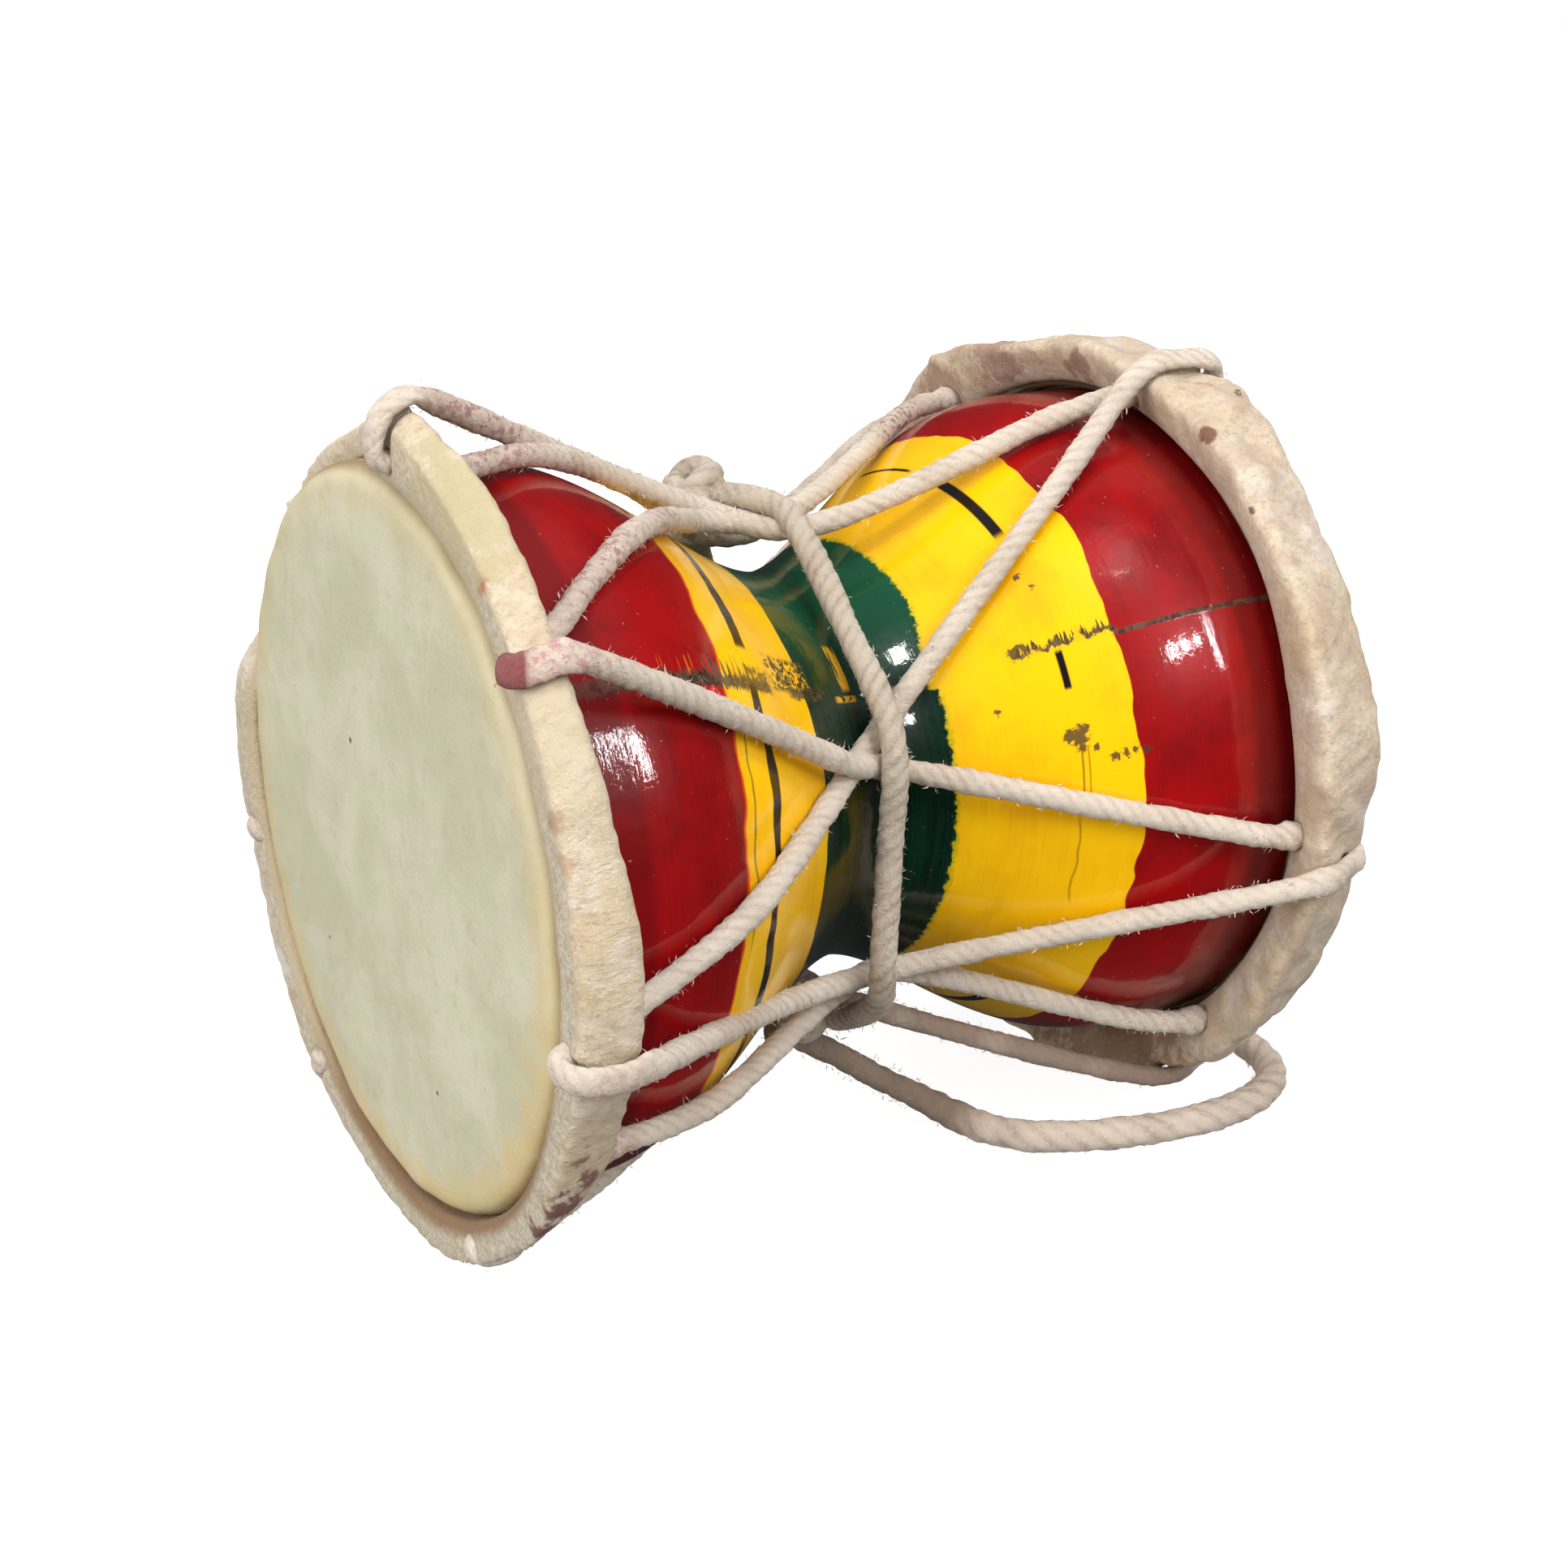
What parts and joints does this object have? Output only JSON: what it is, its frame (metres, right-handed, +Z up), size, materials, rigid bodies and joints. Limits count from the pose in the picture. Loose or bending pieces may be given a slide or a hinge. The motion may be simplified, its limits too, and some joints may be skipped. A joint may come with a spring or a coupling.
{
  "type": "hourglass hand drum",
  "caption": "Small two-headed hourglass hand drum of painted wood with hide heads, hide-lapped hoops, cotton lacing and a knotted striker cord, lying on its side.",
  "frame": {"origin": "middle of the drum's outline, on the surface that the two hoops stand on", "axes": "+X along the drum's axis from the left head to the right head, +Z up, -Y towards the side the picture shows"},
  "size_m": [0.091, 0.078, 0.0769],
  "materials": {
    "lacquered_wood": "gloss lacquer in red, yellow and dark green bands",
    "head_hide": "matt rawhide",
    "hoop_hide": "matt rawhide, wrinkled",
    "white_cotton": "twisted cotton cord",
    "tan_cotton": "twisted cotton cord, stained"
  },
  "bodies": {
    "root": {"wooden_body": "lacquered_wood", "left_head_skin": "head_hide", "right_head_skin": "head_hide", "left_hoop": "hoop_hide", "right_hoop": "hoop_hide", "lacing": "white_cotton", "waist_cord": "white_cotton", "striker_cord": "tan_cotton", "striker_knot": "tan_cotton"}
  },
  "joints": []
}
